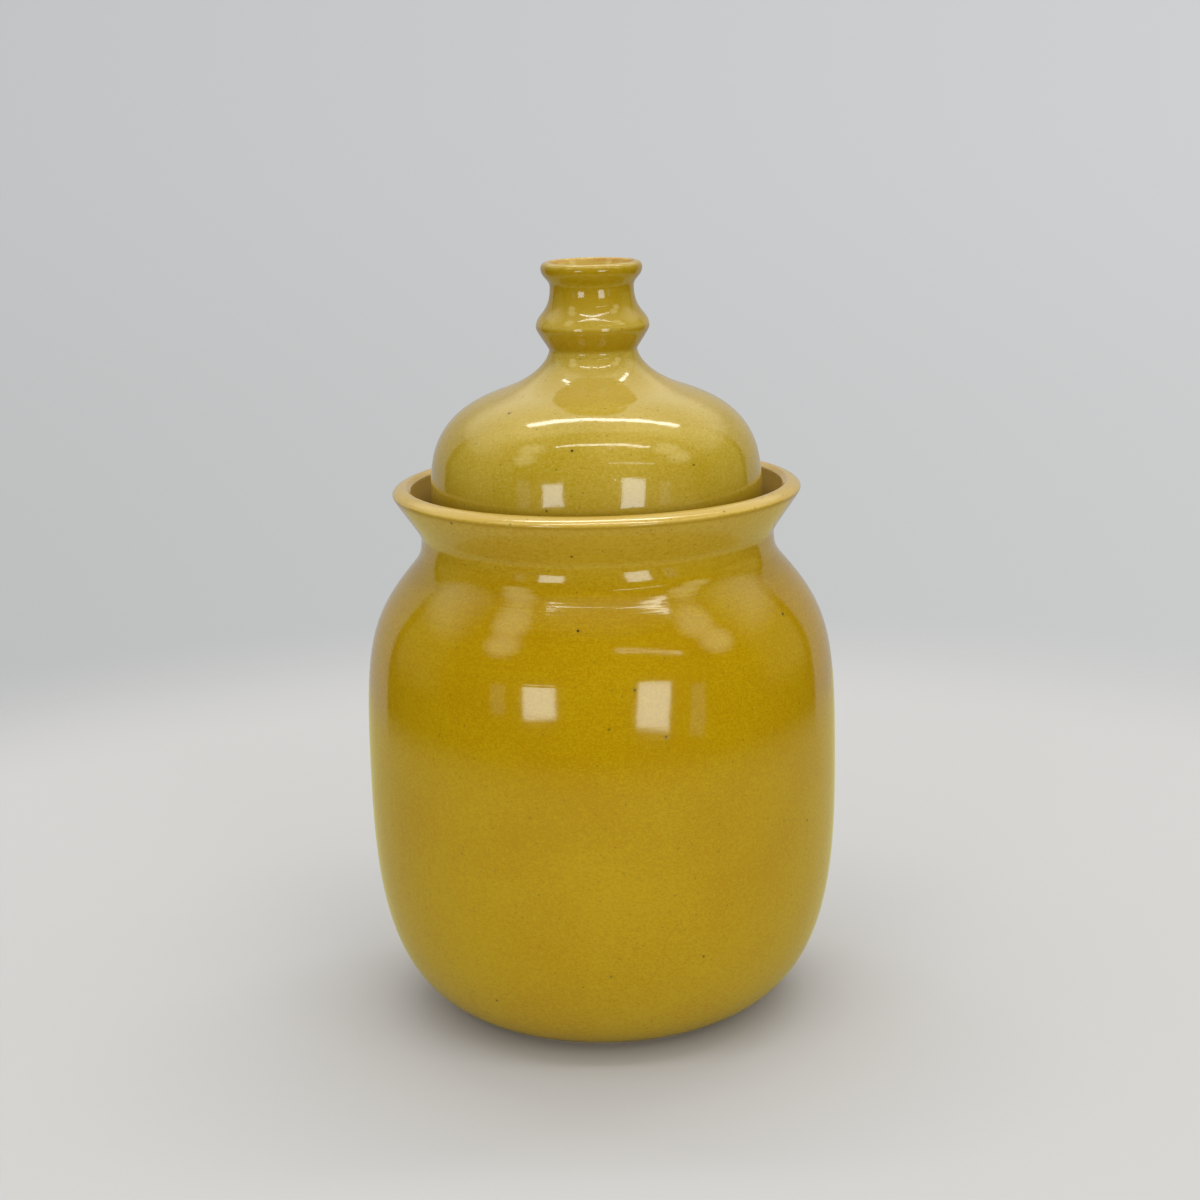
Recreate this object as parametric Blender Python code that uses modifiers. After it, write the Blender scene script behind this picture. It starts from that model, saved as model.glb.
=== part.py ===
"""Treat jar: a wheel-thrown, glazed stoneware jar with a flared rim and a domed lid.

The jar stands on the XY plane with its axis on +Z, and its origin is the middle of the foot.
Every size is in metres. Two fired pieces make the object: the jar body, with a ledge inside its
flared rim, and the lid, whose knob was thrown onto it, so that both were fired as one piece.
"""

import math
from collections import namedtuple

import bpy

# Jar body, outside
FOOT_RADIUS = 0.043
FOOT_RING_WIDTH = 0.0065
FOOT_RECESS = 0.0015
BELLY_RADIUS = 0.0762
BELLY_HEIGHT = 0.084
SHOULDER_RISE = 0.0647
SHOULDER_STEP = 0.0032
NECK_RISE = 0.0082
RIM_RISE = 0.01505
RIM_FLARE = 0.0087
LIP_THICKNESS = 0.0057
LIP_CROWN = 0.0027

# Jar body, inside
BODY_WALL = 0.0055
FLOOR_THICKNESS = 0.007
NECK_WALL = 0.0044
LEDGE_RISE = 0.0031
LEDGE_WIDTH = 0.0049
LEDGE_THICKNESS = 0.0045

# Lid, its heights counted from the station below
LID_RADIUS = 0.0531
LID_WALL = 0.0052
LID_TUCK = 0.0019
LID_TUCK_HEIGHT = 0.0055
LID_SIDE_HEIGHT = 0.0132
DOME_RADIUS = 0.0291
DOME_RISE = 0.03045
ROOF_RISE = 0.0026

# Knob, its heights counted from the station below
WAIST_RADIUS = 0.01465
WAIST_RISE = 0.0120
RIDGE_RADIUS = 0.0180
RIDGE_RISE = 0.00745
KNOB_NECK_RADIUS = 0.0134
KNOB_NECK_RISE = 0.0123
KNOB_LIP_RADIUS = 0.0161
KNOB_LIP_RISE = 0.0062
KNOB_LIP_THICKNESS = 0.0031
KNOB_LIP_CROWN = 0.0021
KNOB_CUP_DEPTH = 0.010

# Fits between the lid and the jar
SEAT_GAP = 0.0003
LID_PLAY = 0.0010

# Rounding of the thrown edges
EDGE_ROUND = 0.0008

# Way that the wall runs at a station, in degrees up from outward
OUTWARD = 0
UPWARD = 90
INWARD = 180
FOOT_LEAN = 15.6
GALLERY_LEAN = 75
SHOULDER_LEAN = 128.4
DOME_LEAN = 165

# How long the wall holds its way before and after a station, as shares of that stretch
FOOT_HOLD = (0.0, 0.36)
BELLY_HOLD = (0.433, 0.607)
SHOULDER_HOLD = (0.33, 0.29)
NECK_HOLD = (0.28, 0.21)
LIP_HOLD = (0.104, 0.0)
LEDGE_HOLD = (0.30, 0.0)
GALLERY_HOLD = (0.0, 0.35)
SIDE_HOLD = (0.40, 0.474)
DOME_HOLD = (0.366, 0.326)
ROOF_HOLD = (0.35, 0.0)
WAIST_HOLD = (0.261, 0.31)
RIDGE_HOLD = (0.10, 0.26)
KNOB_NECK_HOLD = (0.50, 0.54)
KNOB_LIP_HOLD = (0.46, 0.0)
CUP_FLOOR_HOLD = (0.0, 0.45)
CUP_EDGE_HOLD = (0.30, 0.0)

# Fineness of the turned shapes
TURN_STEPS = 64
CURVE_GRAIN = 0.0008
LIP_STEPS = 8
EDGE_STEPS = 2
MERGE_DISTANCE = 0.00001

# Glaze, colours in linear RGBA
BODY_COLOUR = (0.392, 0.262, 0.012, 1.0)
LID_COLOUR = (0.451, 0.320, 0.047, 1.0)
GLAZE_ROUGHNESS = 0.22

# Heights and radii that the two pieces share
GALLERY_RADIUS = LID_RADIUS - LID_TUCK + LID_PLAY
NECK_RADIUS = GALLERY_RADIUS + NECK_WALL
SHOULDER_HEIGHT = BELLY_HEIGHT + SHOULDER_RISE
NECK_HEIGHT = SHOULDER_HEIGHT + NECK_RISE
LEDGE_HEIGHT = NECK_HEIGHT + LEDGE_RISE
LID_REST_HEIGHT = LEDGE_HEIGHT + SEAT_GAP

# A station is a point of an outline, with the way that the wall runs through it and its holds
Station = namedtuple("Station", "radius height lean hold")


def along(station, distance):
    """The point at a distance past a station, the way that the wall runs there."""
    lean = math.radians(station.lean)
    return (
        station.radius + distance * math.cos(lean),
        station.height + distance * math.sin(lean),
    )


def inset(station, wall):
    """The station on the inner face of a wall, square across from one on its outer face."""
    radius, height = along(station._replace(lean=station.lean + 90), wall)
    return station._replace(radius=radius, height=height)


def curve(lower, upper):
    """Points of a smooth curve from one station up to the next, without its last point."""
    reach = math.hypot(upper.radius - lower.radius, upper.height - lower.height)
    corners = (
        (lower.radius, lower.height),
        along(lower, reach * lower.hold[1]),
        along(upper, -reach * upper.hold[0]),
        (upper.radius, upper.height),
    )
    steps = max(3, round(math.sqrt(reach / CURVE_GRAIN)))
    points = []
    for step in range(steps):
        t = step / steps
        shares = ((1 - t) ** 3, 3 * (1 - t) ** 2 * t, 3 * (1 - t) * t ** 2, t ** 3)
        points.append(tuple(
            sum(share * corner[axis] for share, corner in zip(shares, corners)) for axis in (0, 1)
        ))
    return points


def falling(lower, upper):
    """The same curve taken from the upper station down, without its last point."""
    return [(upper.radius, upper.height)] + curve(lower, upper)[:0:-1]


def arc(middle, half_width, half_height, first, last, steps):
    """Points of an elliptical arc about a point, from one angle to another in degrees."""
    angles = [math.radians(first + (last - first) * step / steps) for step in range(steps + 1)]
    return [
        (middle[0] + half_width * math.cos(angle), middle[1] + half_height * math.sin(angle))
        for angle in angles
    ]


def rounded_edge(radius, height, first, last):
    """A quarter-round of the usual size, from one angle to another in degrees."""
    return arc((radius, height), EDGE_ROUND, EDGE_ROUND, first, last, EDGE_STEPS)


def rounded_lip(lip, thickness, crown):
    """A lip's round from its inner face over its crest to the outer face, where the lip stands."""
    return arc((lip.radius - thickness / 2, lip.height), thickness / 2, crown, 180, 0, LIP_STEPS)


def body_outline():
    """Half section of the jar body: up the inside from the floor, then down the outside."""
    foot = Station(FOOT_RADIUS, 0.0, FOOT_LEAN, FOOT_HOLD)
    belly = Station(BELLY_RADIUS, BELLY_HEIGHT, UPWARD, BELLY_HOLD)
    shoulder = Station(NECK_RADIUS + SHOULDER_STEP, SHOULDER_HEIGHT, SHOULDER_LEAN, SHOULDER_HOLD)
    neck = Station(NECK_RADIUS, NECK_HEIGHT, UPWARD, NECK_HOLD)
    lip = Station(NECK_RADIUS + RIM_FLARE, NECK_HEIGHT + RIM_RISE, UPWARD, LIP_HOLD)

    floor = Station(FOOT_RADIUS - BODY_WALL, FLOOR_THICKNESS, OUTWARD, FOOT_HOLD)
    inner_belly = inset(belly, BODY_WALL)
    inner_shoulder = inset(shoulder, BODY_WALL)
    throat_radius = GALLERY_RADIUS - LEDGE_WIDTH
    throat = Station(throat_radius, LEDGE_HEIGHT - LEDGE_THICKNESS, UPWARD, LEDGE_HOLD)
    gallery = Station(GALLERY_RADIUS, LEDGE_HEIGHT + EDGE_ROUND, GALLERY_LEAN, GALLERY_HOLD)
    inner_lip = inset(lip, LIP_THICKNESS)

    inside = [(0.0, floor.height)]
    inside += curve(floor, inner_belly)
    inside += curve(inner_belly, inner_shoulder)
    inside += curve(inner_shoulder, throat)
    inside += [(throat.radius, throat.height)]

    ledge = rounded_edge(throat_radius + EDGE_ROUND, LEDGE_HEIGHT - EDGE_ROUND, 180, 90)
    ledge += [(GALLERY_RADIUS - EDGE_ROUND, LEDGE_HEIGHT)]

    rim = curve(gallery, inner_lip)
    rim += rounded_lip(lip, LIP_THICKNESS, LIP_CROWN)
    rim += falling(neck, lip)[1:]

    outside = falling(shoulder, neck)
    outside += falling(belly, shoulder)
    outside += falling(foot, belly)
    outside += [(foot.radius, foot.height)]

    ring_edge = FOOT_RADIUS - FOOT_RING_WIDTH
    underside = [(ring_edge, 0.0), (ring_edge - FOOT_RECESS, FOOT_RECESS), (0.0, FOOT_RECESS)]
    return inside + ledge + rim + outside + underside


def knob_outline(dome):
    """The knob from the floor of its cup, over its lip and down to the dome that it stands on."""
    waist = Station(WAIST_RADIUS, dome.height + WAIST_RISE, UPWARD, WAIST_HOLD)
    ridge = Station(RIDGE_RADIUS, waist.height + RIDGE_RISE, UPWARD, RIDGE_HOLD)
    neck = Station(KNOB_NECK_RADIUS, ridge.height + KNOB_NECK_RISE, UPWARD, KNOB_NECK_HOLD)
    lip = Station(KNOB_LIP_RADIUS, neck.height + KNOB_LIP_RISE, UPWARD, KNOB_LIP_HOLD)
    cup_edge = inset(lip, KNOB_LIP_THICKNESS)._replace(hold=CUP_EDGE_HOLD)
    cup_height = lip.height + KNOB_LIP_CROWN - KNOB_CUP_DEPTH
    cup_floor = Station(0.0, cup_height, OUTWARD, CUP_FLOOR_HOLD)

    cup = curve(cup_floor, cup_edge)
    cup += rounded_lip(lip, KNOB_LIP_THICKNESS, KNOB_LIP_CROWN)
    stem = falling(neck, lip)[1:]
    stem += falling(ridge, neck)
    stem += falling(waist, ridge)
    stem += falling(dome, waist)
    return cup + stem


def lid_outline():
    """Half section of the lid: the knob, down the outside, then up the inside to the roof.

    Heights count from the face of the seat ring, on which the lid rests.
    """
    ring_radius = LID_RADIUS - LID_TUCK
    ring = Station(ring_radius, EDGE_ROUND, UPWARD, SIDE_HOLD)
    side_foot = Station(LID_RADIUS, LID_TUCK_HEIGHT, UPWARD, SIDE_HOLD)
    side = Station(LID_RADIUS, LID_SIDE_HEIGHT, UPWARD, SIDE_HOLD)
    dome = Station(DOME_RADIUS, side.height + DOME_RISE, DOME_LEAN, DOME_HOLD)

    inner_side = inset(side, LID_WALL)
    inner_dome = inset(dome, LID_WALL)
    roof = Station(0.0, inner_dome.height + ROOF_RISE, INWARD, ROOF_HOLD)

    outside = falling(side, dome)
    outside += [(side.radius, side.height)]
    outside += falling(ring, side_foot)

    seat = rounded_edge(ring_radius - EDGE_ROUND, EDGE_ROUND, 0, -90)
    seat += rounded_edge(inner_side.radius + EDGE_ROUND, EDGE_ROUND, -90, -180)

    inside = curve(inner_side, inner_dome)
    inside += curve(inner_dome, roof)
    inside += [(roof.radius, roof.height)]
    return knob_outline(dome) + outside + seat + inside


def glaze(name, colour):
    """Glossy mustard glaze over stoneware."""
    material = bpy.data.materials.new(name)
    material.use_nodes = True
    shader = material.node_tree.nodes["Principled BSDF"]
    shader.inputs["Base Color"].default_value = colour
    shader.inputs["Metallic"].default_value = 0.0
    shader.inputs["Roughness"].default_value = GLAZE_ROUGHNESS
    material.diffuse_color = colour
    return material


def turned(name, outline, material, collection, height=0.0):
    """A piece thrown on the wheel: its half section, screwed once round the upright axis."""
    mesh = bpy.data.meshes.new(name)
    edges = [(index, index + 1) for index in range(len(outline) - 1)]
    mesh.from_pydata([(radius, 0.0, level) for radius, level in outline], edges, [])
    mesh.materials.append(material)
    piece = bpy.data.objects.new(name, mesh)
    piece.location.z = height
    collection.objects.link(piece)
    screw = piece.modifiers.new("Turn", "SCREW")
    screw.axis = "Z"
    screw.angle = math.radians(360)
    screw.steps = TURN_STEPS
    screw.render_steps = TURN_STEPS
    screw.use_merge_vertices = True
    screw.merge_threshold = MERGE_DISTANCE
    screw.use_smooth_shade = True
    return piece


def clear_scene():
    """Removes what the scene holds, so that only the jar is in it."""
    for piece in list(bpy.data.objects):
        bpy.data.objects.remove(piece, do_unlink=True)


def main():
    clear_scene()
    jar = bpy.data.collections.new("treat_jar")
    bpy.context.scene.collection.children.link(jar)
    turned("jar_body", body_outline(), glaze("body_glaze", BODY_COLOUR), jar)
    turned("lid", lid_outline(), glaze("lid_glaze", LID_COLOUR), jar, LID_REST_HEIGHT)


main()
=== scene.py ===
"""Looks of a treat jar: a wheel-thrown stoneware jar and its domed lid, both under a glossy
mustard glaze, on a plain pale stage.

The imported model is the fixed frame. Each of the two fired pieces is thrown again here as a fine
surface of revolution around its own solid, with the spiral marks of the wheel in its walls, and
is glazed with a procedural material. Sizes are in metres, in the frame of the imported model.
"""

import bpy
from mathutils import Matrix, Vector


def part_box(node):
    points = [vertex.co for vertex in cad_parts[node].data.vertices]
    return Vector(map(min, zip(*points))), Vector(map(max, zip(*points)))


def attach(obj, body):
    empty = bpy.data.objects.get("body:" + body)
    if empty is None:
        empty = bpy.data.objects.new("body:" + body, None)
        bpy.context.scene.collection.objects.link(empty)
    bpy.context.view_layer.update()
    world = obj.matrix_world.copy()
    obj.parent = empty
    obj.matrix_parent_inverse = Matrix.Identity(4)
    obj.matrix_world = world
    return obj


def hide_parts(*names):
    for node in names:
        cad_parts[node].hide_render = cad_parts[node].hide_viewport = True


bl_info = {
    "name": "Glazed Treat Jar",
    "version": (1, 0, 0),
    "blender": (4, 5, 0),
    "location": "3D View > Sidebar > Treat Jar",
    "description": "Throws and glazes a stoneware treat jar and its lid, and sets the stage",
    "category": "Object",
}

import math
from collections import namedtuple
from functools import partial

import bmesh
import bpy
from bpy.props import FloatProperty, FloatVectorProperty, IntProperty, PointerProperty
from mathutils import Matrix, Vector

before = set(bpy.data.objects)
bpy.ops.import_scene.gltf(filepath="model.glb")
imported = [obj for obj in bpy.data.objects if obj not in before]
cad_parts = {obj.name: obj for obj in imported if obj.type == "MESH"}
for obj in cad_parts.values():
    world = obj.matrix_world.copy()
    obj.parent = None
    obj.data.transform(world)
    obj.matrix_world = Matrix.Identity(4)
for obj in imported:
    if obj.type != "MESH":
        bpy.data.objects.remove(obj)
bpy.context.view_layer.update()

# The boxes of the two solids give the pieces their widths, and the lid its height at rest
JAR_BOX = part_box("jar_body")
LID_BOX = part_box("lid")

MM = 0.001

# Way that the wall runs at a station, in degrees up from outward
OUTWARD = 0
UPWARD = 90
INWARD = 180
FOOT_LEAN = 15.6
GALLERY_LEAN = 75
SHOULDER_LEAN = 130.5
BROW_LEAN = 106.6
DOME_LEAN = 160.1
BEVEL_LEAN = 38

# How long the wall holds its way before and after a station, as shares of that stretch
FOOT_HOLD = (0.0, 0.36)
BELLY_HOLD = (0.433, 0.598)
SHOULDER_HOLD = (0.322, 0.441)
NECK_HOLD = (0.46, 0.127)
LIP_HOLD = (0.087, 0.0)
LEDGE_HOLD = (0.30, 0.0)
GALLERY_HOLD = (0.0, 0.35)
RIM_HOLD = (0.087, 0.0)
SIDE_HOLD = (0.40, 0.342)
BROW_HOLD = (0.149, 0.472)
DOME_HOLD = (0.212, 0.66)
INNER_SIDE_HOLD = (0.40, 0.474)
INNER_DOME_HOLD = (0.366, 0.326)
ROOF_HOLD = (0.35, 0.0)
WAIST_HOLD = (0.11, 0.06)
RIDGE_HOLD = (0.151, 0.345)
KNOB_NECK_HOLD = (0.622, 0.356)
KNOB_LIP_HOLD = (0.423, 0.0)
CUP_FLOOR_HOLD = (0.0, 0.45)
CUP_EDGE_HOLD = (0.35, 0.0)

# Fineness of the sections
WALL_STEP = 1.25 * MM
FLAT_STEP = 3 * MM
LEAST_STEPS = 8
LIP_STEPS = 20
EDGE_STEPS = 4
MERGE_DISTANCE = 0.005 * MM
FIT_TOLERANCE = 0.4 * MM

# The wall stays smooth and level within this radius, so that a turn closes to one point on the axis
AXIS_CALM = 4 * MM

# How far a glaze trait and the edge of the bare clay spread along the section
TRAIT_SPREAD = 1.1 * MM
BARE_SPREAD = 0.8 * MM
FREE_SPREAD = 3 * MM

# Where the crests stand on the lips, as shares of the thickness out from the inner face
LIP_APEX = 0.25
KNOB_LIP_APEX = 0.4

# The jar lip's inner bevel: its foot in from and over the inner face, and the rounds at its ends.
# The lip's round turns into the outer corner past this share of its points
BEVEL_FOOT = (-0.3 * MM, 0.95 * MM)
BEVEL_ROUNDS = (0.6 * MM, 0.4 * MM)
CORNER_START = 0.82

# How the jar lip's outer round turns from level to upright: to each lean in degrees below level, at
# a radius of curvature in mm, in steps of about this many degrees. The two nearly flat stretches
# give the crisp lines along the lip
LIP_TURNS = ((27.5, 6.0), (30.1, 15.0), (47.5, 1.19), (50.5, 13.0), (90.0, 1.0))
TURN_STEP = 2.8

# Share of the knob lip's points past which the pale glaze runs out
KNOB_PALE_END = 0.34

# Angles at which the cup in the knob runs into the round of the knob's lip, and the foot's wall
# into the round of the foot ring's edge. The wall would be upright at 180 and at 0
CUP_START = 140
FOOT_START = -10

# The sway has a few lobes to a turn, and changes over this height of wall
SWAY_LOBES = 0.8
SWAY_HEIGHT = 60 * MM

# A station is a point of a section, with the way that the wall runs through it and its holds.
# A spot is a point of a section with how the wheel and the glaze left the clay there: pale where
# the glaze is thinner, and also as painted light on the flare, the neck, the low wall, the dome and
# the knob's cup; pooled where the glaze is deep, and also as painted shade in the jar's gallery and
# down the lid's side; dull where it stayed dry, bare where there is none, lines where fine throwing
# lines show, and rings where the fingers left deep ones. A glaze has its colours, the heights in mm
# of its fine orange peel and slow waver, how much of its thinner stretches blushes, and how strong
# its mottling is
Station = namedtuple("Station", "radius height lean hold")
Spot = namedtuple("Spot", "radius height pale pooled dull bare lines rings")
Glaze = namedtuple("Glaze", "colour light deep tint peel waver blush mottling")
TRAITS = Spot._fields[2:]
GLAZE_TRAITS = TRAITS[:5]


def linear(code):
    """An sRGB hex colour as linear RGBA."""
    levels = [int(code[place:place + 2], 16) / 255 for place in (1, 3, 5)]
    return [
        level / 12.92 if level <= 0.04045 else ((level + 0.055) / 1.055) ** 2.4
        for level in levels
    ] + [1.0]


def size(name, description, default):
    """A length that a user may change, with its default in mm."""
    return FloatProperty(
        name=name, description=description, default=default * MM, min=0.0, unit="LENGTH",
        precision=5,
    )


def share(name, description, default, top=1.0):
    """A plain number that a user may change."""
    return FloatProperty(name=name, description=description, default=default, min=0.0, max=top)


def colour(name, description, code):
    """A colour that a user may change."""
    return FloatVectorProperty(
        name=name, description=description, default=linear(code), subtype="COLOR", size=4,
        min=0.0, max=1.0,
    )


class JarSizes(bpy.types.PropertyGroup):
    """Sizes of the jar body."""

    foot_radius: size("Foot radius", "Outer radius of the foot ring", 43)
    foot_ring_width: size("Foot ring width", "Width of the flat ring that it stands on", 6.5)
    foot_recess: size("Foot recess", "Depth of the hollow inside the foot ring", 1.5)
    belly_radius: size("Belly radius", "Radius at the widest", JAR_BOX[1][0] / MM)
    belly_height: size("Belly height", "Height of the widest part", 84)
    shoulder_rise: size("Shoulder rise", "Height of the shoulder over the belly", 63.5)
    shoulder_step: size("Shoulder step", "How far the shoulder stands out past the neck", 3.81)
    neck_radius: size("Neck radius", "Radius of the narrowest part of the neck", 56.66)
    neck_rise: size("Neck rise", "Height of the neck over the shoulder", 10.28)
    rim_rise: size("Rim rise", "Height of the lip over the neck", 14.17)
    rim_flare: size("Rim flare", "How far the lip stands out past the neck", 8.64)
    lip_thickness: size("Lip thickness", "Thickness of the rounded lip", 5.7)
    lip_crown: size("Lip crown", "Height of the round of the lip", 2.4)
    wall: size("Wall", "Thickness of the wall", 5.5)
    floor_thickness: size("Floor thickness", "Height of the inner floor", 7)
    gallery_radius: size("Gallery radius", "Radius inside the rim, just over the ledge", 52.2)
    ledge_rise: size("Ledge rise", "Height of the ledge over the neck", 2.22)
    ledge_width: size("Ledge width", "How far the ledge for the lid stands in", 4.9)
    ledge_thickness: size("Ledge thickness", "Thickness of the ledge", 4.5)
    edge_round: size("Edge round", "Radius of the ledge's and the foot's edges", 0.8)
    turn_steps: IntProperty(
        name="Turn steps", description="Steps of one turn of the wheel", default=224, min=24
    )
    ring_pitch: size("Ring pitch", "Rise of the fingers in one turn of the wheel", 6.5)
    ring_depth: size("Ring depth", "Depth of the finger rings inside the wall", 0.35)
    sway: size("Sway", "How far the wall strays from a true circle", 0.12)
    seed: IntProperty(name="Seed", description="Seed of the sway", default=4)


class LidSizes(bpy.types.PropertyGroup):
    """Sizes of the lid and its knob."""

    rest_height: size("Rest height", "Height of the seat ring's face at rest", LID_BOX[0][2] / MM)
    radius: size("Radius", "Radius of the lid's upright side", LID_BOX[1][0] / MM)
    wall: size("Wall", "Thickness of the dome", 5.2)
    tuck: size("Tuck", "How far the side tucks in to the seat ring", 1.9)
    tuck_height: size("Tuck height", "Height at which the side starts to tuck in", 5.5)
    side_height: size("Side height", "Height at which the side turns into the dome", 13.2)
    brow_radius: size("Brow radius", "Radius at which the dome's brow starts to round in", 51.55)
    brow_rise: size("Brow rise", "Height of the brow over the side", 11.27)
    dome_radius: size("Dome radius", "Radius at which the dome turns up into the knob", 28.56)
    dome_rise: size("Dome rise", "Height of that turn over the side", 30.81)
    roof_rise: size("Roof rise", "Height of the inner roof over the inner dome", 2.6)
    waist_radius: size("Waist radius", "Radius of the waist under the knob's ridge", 14.03)
    waist_rise: size("Waist rise", "Height of the waist over the dome", 12.22)
    ridge_radius: size("Ridge radius", "Radius of the knob's ridge", 18.03)
    ridge_rise: size("Ridge rise", "Height of the ridge over the waist", 6.99)
    knob_neck_radius: size("Knob neck radius", "Radius of the neck over the ridge", 13.29)
    knob_neck_rise: size("Knob neck rise", "Height of that neck over the ridge", 12.67)
    knob_lip_radius: size("Knob lip radius", "Radius of the knob's lip", 16.1)
    knob_lip_rise: size("Knob lip rise", "Height of the lip over the knob's neck", 5.70)
    knob_lip_thickness: size("Knob lip thickness", "Thickness of the knob's lip", 3.1)
    knob_lip_crown: size("Knob lip crown", "Height of the round of the knob's lip", 2.1)
    cup_depth: size("Cup depth", "Depth of the hollow in the top of the knob", 10)
    edge_round: size("Edge round", "Radius of the seat ring's edges", 0.8)
    turn_steps: IntProperty(
        name="Turn steps", description="Steps of one turn of the wheel", default=256, min=24
    )
    ring_pitch: size("Ring pitch", "Rise of the fingers in one turn of the wheel", 5)
    ring_depth: size("Ring depth", "Depth of the finger rings under the dome", 0.2)
    sway: size("Sway", "How far the wall strays from a true circle", 0.10)
    seed: IntProperty(name="Seed", description="Seed of the sway", default=9)


class GlazeLook(bpy.types.PropertyGroup):
    """Colours and gloss of the glaze and of the clay under it."""

    body_colour: colour("Body glaze", "Mustard glaze on the jar body", "#a27b00")
    body_light: colour("Body glaze, light", "Paler patches of the body's mottling", "#ac8c06")
    # The deep colours also stand as painted shade: the body's in its gallery, the lid's down its side
    body_deep: colour("Body glaze, deep", "Glaze where it pools on the body", "#866600")
    lid_colour: colour("Lid glaze", "Thinner mustard glaze on the lid", "#a08510")
    lid_light: colour("Lid glaze, light", "Paler patches of the lid's mottling", "#b89d42")
    lid_deep: colour("Lid glaze, deep", "Glaze where it pools on the lid", "#967600")
    # The buff of the thinner glaze also stands as painted light on the flare, the neck, the low wall,
    # the dome and the knob's cup
    thin_colour: colour("Thin glaze", "Glaze that breaks to buff over edges", "#c4a552")
    blush_colour: colour("Blush", "Orange-brown blush where the glaze is thin", "#b0742c")
    clay_colour: colour("Clay", "Bare fired stoneware", "#c6a47c")
    clay_grain: colour("Clay grain", "Darker sand in the bare clay", "#a98661")
    olive_speck: colour("Olive speck", "Faint specks all over the glaze", "#7c6a10")
    iron_speck: colour("Iron speck", "Dark iron spots that bleed through the glaze", "#3a2208")
    glaze_ior: share("Glaze IOR", "Index of refraction of the glaze", 1.5, 3.0)
    glaze_roughness: share("Glaze roughness", "Roughness of the melted glaze", 0.085)
    clay_roughness: share("Clay roughness", "Roughness of the bare clay", 0.85)
    body_tint: colour("Body sheen", "Tint of what the body's glaze mirrors straight on", "#fffff0")
    lid_tint: colour("Lid sheen", "Tint of what the lid's glaze mirrors straight on", "#fffffa")
    body_peel: share("Body peel", "Height in mm of the body's fine orange peel", 0.006)
    body_waver: share("Body waver", "Height in mm of the slow waver in the body's glaze", 0.03)
    lid_peel: share("Lid peel", "Height in mm of the lid's fine orange peel", 0.009)
    lid_waver: share("Lid waver", "Height in mm of the slow waver in the lid's glaze", 0.12)
    body_blush: share("Body blush", "How much of the thin glaze on the body blushes", 0.16)
    lid_blush: share("Lid blush", "How much of the thin glaze on the lid blushes", 0.55)
    body_mottling: share("Body mottling", "How strong the mottling of the body's glaze is", 1.25, 4.0)
    lid_mottling: share("Lid mottling", "How strong the mottling of the lid's glaze is", 0.55, 4.0)


class StageLook(bpy.types.PropertyGroup):
    """The camera, the floor and the light."""

    camera_distance: size("Camera distance", "From the jar's axis to the camera", 726.25)
    camera_height: size("Camera height", "Height of the camera over the floor", 304.6)
    camera_side: size("Camera side", "Camera's place to the right of the jar's axis", 0.3)
    camera_pitch: FloatProperty(
        name="Camera pitch", description="How far the camera looks down",
        default=math.radians(13.163), subtype="ANGLE",
    )
    camera_roll: FloatProperty(
        name="Camera roll", description="How far the camera leans over",
        default=math.radians(-1.35), subtype="ANGLE",
    )
    camera_lens: FloatProperty(
        name="Camera lens", description="Focal length in mm on a 36 mm sensor", default=69.0, min=1.0
    )
    floor_radius: size("Floor radius", "Radius at which the floor has faded away", 560)
    floor_fade: size("Floor fade", "Radius at which the floor starts to fade", 350)
    floor_colour: colour("Floor", "Pale matte paper", "#c8c7c5")
    # Painted reflection: what the glaze mirrors of the floor is tinted amber
    floor_mirrored: colour("Floor, mirrored", "The paper as the amber glaze mirrors it", "#c2c08e")
    backdrop_low: colour("Backdrop, low", "Backdrop near the floor", "#c4c5c5")
    backdrop_high: colour("Backdrop, high", "Backdrop at the top", "#c8cacb")
    ambient: share("Ambient", "Light from all around", 0.55, 4.0)
    overhead: share("Overhead", "How much more of that light comes from above", 0.42, 4.0)
    rightward: share("Rightward", "How much more of that light comes from the right", 0.07, 4.0)
    forward: share("Forward", "How much more of that light comes from in front", 0.14, 4.0)
    window_colour: colour("Window light", "Cool daylight", "#eef5ff")
    room: share("Room", "Brightness of the room in front, as the glaze mirrors it", 0.02, 4.0)
    window_light: share("Windows", "Brightness of the two windows", 7.3, 100.0)
    tube_light: share("Tubes", "Brightness of the ceiling tubes", 11.5, 400.0)
    glow_light: share("Glows", "Brightness of the two soft glows beside the jar", 2.4, 100.0)


def along(station, distance):
    """The point at a distance past a station, the way that the wall runs there."""
    lean = math.radians(station.lean)
    return (
        station.radius + distance * math.cos(lean),
        station.height + distance * math.sin(lean),
    )


def inset(station, wall):
    """The station on the inner face of a wall, square across from one on its outer face."""
    radius, height = along(station._replace(lean=station.lean + 90), wall)
    return station._replace(radius=radius, height=height)


def curve(lower, upper):
    """Points of a smooth curve from one station up to the next, without its last point."""
    reach = math.hypot(upper.radius - lower.radius, upper.height - lower.height)
    corners = (
        (lower.radius, lower.height),
        along(lower, reach * lower.hold[1]),
        along(upper, -reach * upper.hold[0]),
        (upper.radius, upper.height),
    )
    steps = max(LEAST_STEPS, round(reach / WALL_STEP))
    points = []
    for step in range(steps):
        past = step / steps
        left = 1 - past
        shares = (left ** 3, 3 * left ** 2 * past, 3 * left * past ** 2, past ** 3)
        points.append(tuple(
            sum(part * corner[axis] for part, corner in zip(shares, corners)) for axis in (0, 1)
        ))
    return points


def falling(lower, upper):
    """The same curve taken from the upper station down, without its last point."""
    return [(upper.radius, upper.height)] + curve(lower, upper)[:0:-1]


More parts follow.
